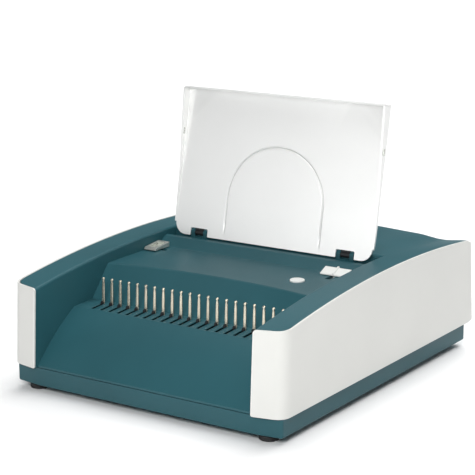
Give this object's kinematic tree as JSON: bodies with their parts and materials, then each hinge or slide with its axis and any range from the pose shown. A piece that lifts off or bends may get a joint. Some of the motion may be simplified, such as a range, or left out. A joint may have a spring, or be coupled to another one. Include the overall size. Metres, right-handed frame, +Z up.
{
  "type": "comb binding machine",
  "caption": "Electric desktop punch and comb binder: two arms beside a document ramp, a row of comb fingers, a control deck, and a lid that stands open as a sheet rest.",
  "frame": {"origin": "on the table under the middle of the body", "axes": "+X to the user's right, +Y from the document ramp to the back, +Z up"},
  "size_m": [0.425, 0.512, 0.3662],
  "materials": {
    "teal_plastic": "semi-gloss moulded",
    "cream_panel": "satin",
    "lid_white": "satin",
    "white_plastic": "semi-gloss",
    "gear_plastic": "moulded nylon",
    "rubber_black": "matte",
    "black_plastic": "fine texture",
    "comb_steel": "plated",
    "guide_silver": "satin",
    "bright_steel": "ground",
    "dark_steel": "phosphate",
    "brass": "turned",
    "board_green": "solder mask"
  },
  "bodies": {
    "chassis": {"base_pan": "teal_plastic", "button_spring": "bright_steel", "button_switch": "black_plastic", "comb_ledge": "teal_plastic", "control_board": "board_green", "deck_cover": "teal_plastic", "die_plate": "bright_steel", "document_ramp": "teal_plastic", "drawer_rail_left": "bright_steel", "drawer_rail_right": "bright_steel", "foot_front_left": "rubber_black", "foot_front_right": "rubber_black", "foot_rear_left": "rubber_black", "foot_rear_right": "rubber_black", "guide_plate": "bright_steel", "hinge_bracket_left": "teal_plastic", "hinge_bracket_right": "teal_plastic", "hinge_pin_left": "bright_steel", "hinge_pin_right": "bright_steel", "idler_axle": "bright_steel", "left_side_panel": "cream_panel", "mechanism_plate": "dark_steel", "motor": "dark_steel", "motor_cradle": "dark_steel", "power_inlet": "black_plastic", "power_supply": "dark_steel", "rake_support": "dark_steel", "rear_panel": "teal_plastic", "rear_screw_1": "bright_steel", "rear_screw_2": "bright_steel", "rear_screw_3": "bright_steel", "rear_screw_4": "bright_steel", "right_side_panel": "cream_panel", "shaft_bearing_left": "brass", "shaft_bearing_right": "brass", "sheet_stop": "dark_steel", "side_frame_left": "dark_steel", "side_frame_right": "dark_steel", "switch_frame": "black_plastic", "tine_rake": "comb_steel", "upper_housing": "teal_plastic"},
    "lid": {"lid_panel": "lid_white"},
    "start_button": {"start_button": "white_plastic"},
    "opener": {"opener_lever": "white_plastic", "slot_shutter": "teal_plastic", "opener_link_right": "bright_steel", "opener_link_left": "bright_steel", "hook_bar": "dark_steel"},
    "edge_guide": {"edge_guide": "guide_silver"},
    "chip_drawer": {"chip_drawer": "teal_plastic"},
    "power_rocker": {"power_rocker": "black_plastic"},
    "camshaft": {"camshaft": "bright_steel", "eccentric_right": "bright_steel", "eccentric_left": "bright_steel", "cam_gear": "gear_plastic"},
    "punch_bar": {"punch_bar": "bright_steel"},
    "idler_gear": {"idler_gear": "gear_plastic"},
    "motor_pinion": {"motor_pinion": "brass"}
  },
  "joints": [
    {"name": "lid_hinge", "type": "hinge", "parent": "chassis", "child": "lid", "pos_m": [0, 0.0551, 0.1607], "axis": [1, 0, 0], "range_deg": [0, 102]},
    {"name": "start_button_press", "type": "slide", "parent": "chassis", "child": "start_button", "axis": [0, 0, -1], "range_m": [0, 0.0025], "stiffness_N_per_m": 500, "springref_m": -0.002, "deforming": ["button_spring"]},
    {"name": "opener_slide", "type": "slide", "parent": "chassis", "child": "opener", "axis": [0, -1, 0], "range_m": [0, 0.018]},
    {"name": "edge_guide_slide", "type": "slide", "parent": "chassis", "child": "edge_guide", "axis": [1, 0, 0], "range_m": [0, 0.012]},
    {"name": "drawer_slide", "type": "slide", "parent": "chassis", "child": "chip_drawer", "axis": [0, 1, 0], "range_m": [0, 0.18]},
    {"name": "rocker_tip", "type": "hinge", "parent": "chassis", "child": "power_rocker", "pos_m": [0.138, 0.2378, 0.1], "axis": [1, 0, 0], "range_deg": [0, 14]},
    {"name": "camshaft_turn", "type": "hinge", "parent": "chassis", "child": "camshaft", "pos_m": [0, 0.096, 0.112], "axis": [1, 0, 0], "range_deg": [0, 180]},
    {"name": "punch_stroke", "type": "slide", "parent": "chassis", "child": "punch_bar", "axis": [0, -1, 0], "range_m": [0, 0.012]},
    {"name": "idler_turn", "type": "hinge", "parent": "chassis", "child": "idler_gear", "pos_m": [0, 0.142, 0.094], "axis": [1, 0, 0], "range_deg": [-288.1, 0]},
    {"name": "motor_turn", "type": "hinge", "parent": "chassis", "child": "motor_pinion", "pos_m": [0, 0.1705, 0.094], "axis": [1, 0, 0], "range_deg": [0, 576.1]}
  ],
  "couplings": [
    {"joint": "punch_stroke", "follows": "camshaft_turn", "m_per_rad": 0.0038197},
    {"joint": "idler_turn", "follows": "camshaft_turn", "ratio": -1.6},
    {"joint": "motor_turn", "follows": "camshaft_turn", "ratio": 3.2}
  ]
}
